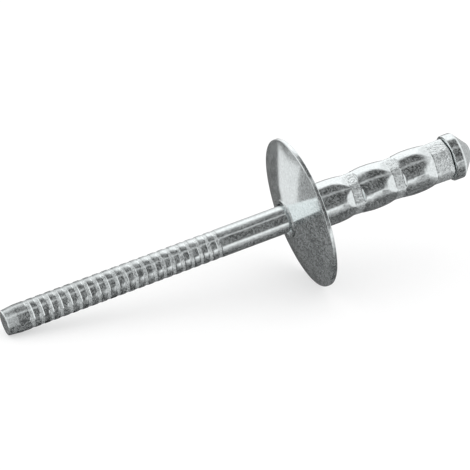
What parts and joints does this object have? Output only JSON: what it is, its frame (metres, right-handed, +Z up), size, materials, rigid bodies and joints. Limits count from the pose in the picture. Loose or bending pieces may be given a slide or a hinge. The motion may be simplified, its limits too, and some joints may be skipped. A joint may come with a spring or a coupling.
{
  "type": "blind rivet",
  "caption": "Multi-grip blind rivet before setting: wide domed flange, crimped sleeve and a grooved pull mandrel with its head.",
  "frame": {"origin": "on the rivet's axis, at the centre of the flange's underside", "axes": "+X towards the mandrel's head, with the rivet's axis rising by about 11.6 degrees above +X; +Z up from the surface that the rivet lies on"},
  "size_m": [0.052, 0.0162, 0.0159],
  "materials": {
    "aluminium_body": "bright, lightly tumbled aluminium, rough where it is crimped",
    "plated_steel": "bright zinc-plated steel with fine drawing lines"
  },
  "bodies": {
    "root": {"rivet_body": "aluminium_body", "mandrel": "plated_steel"}
  },
  "joints": []
}
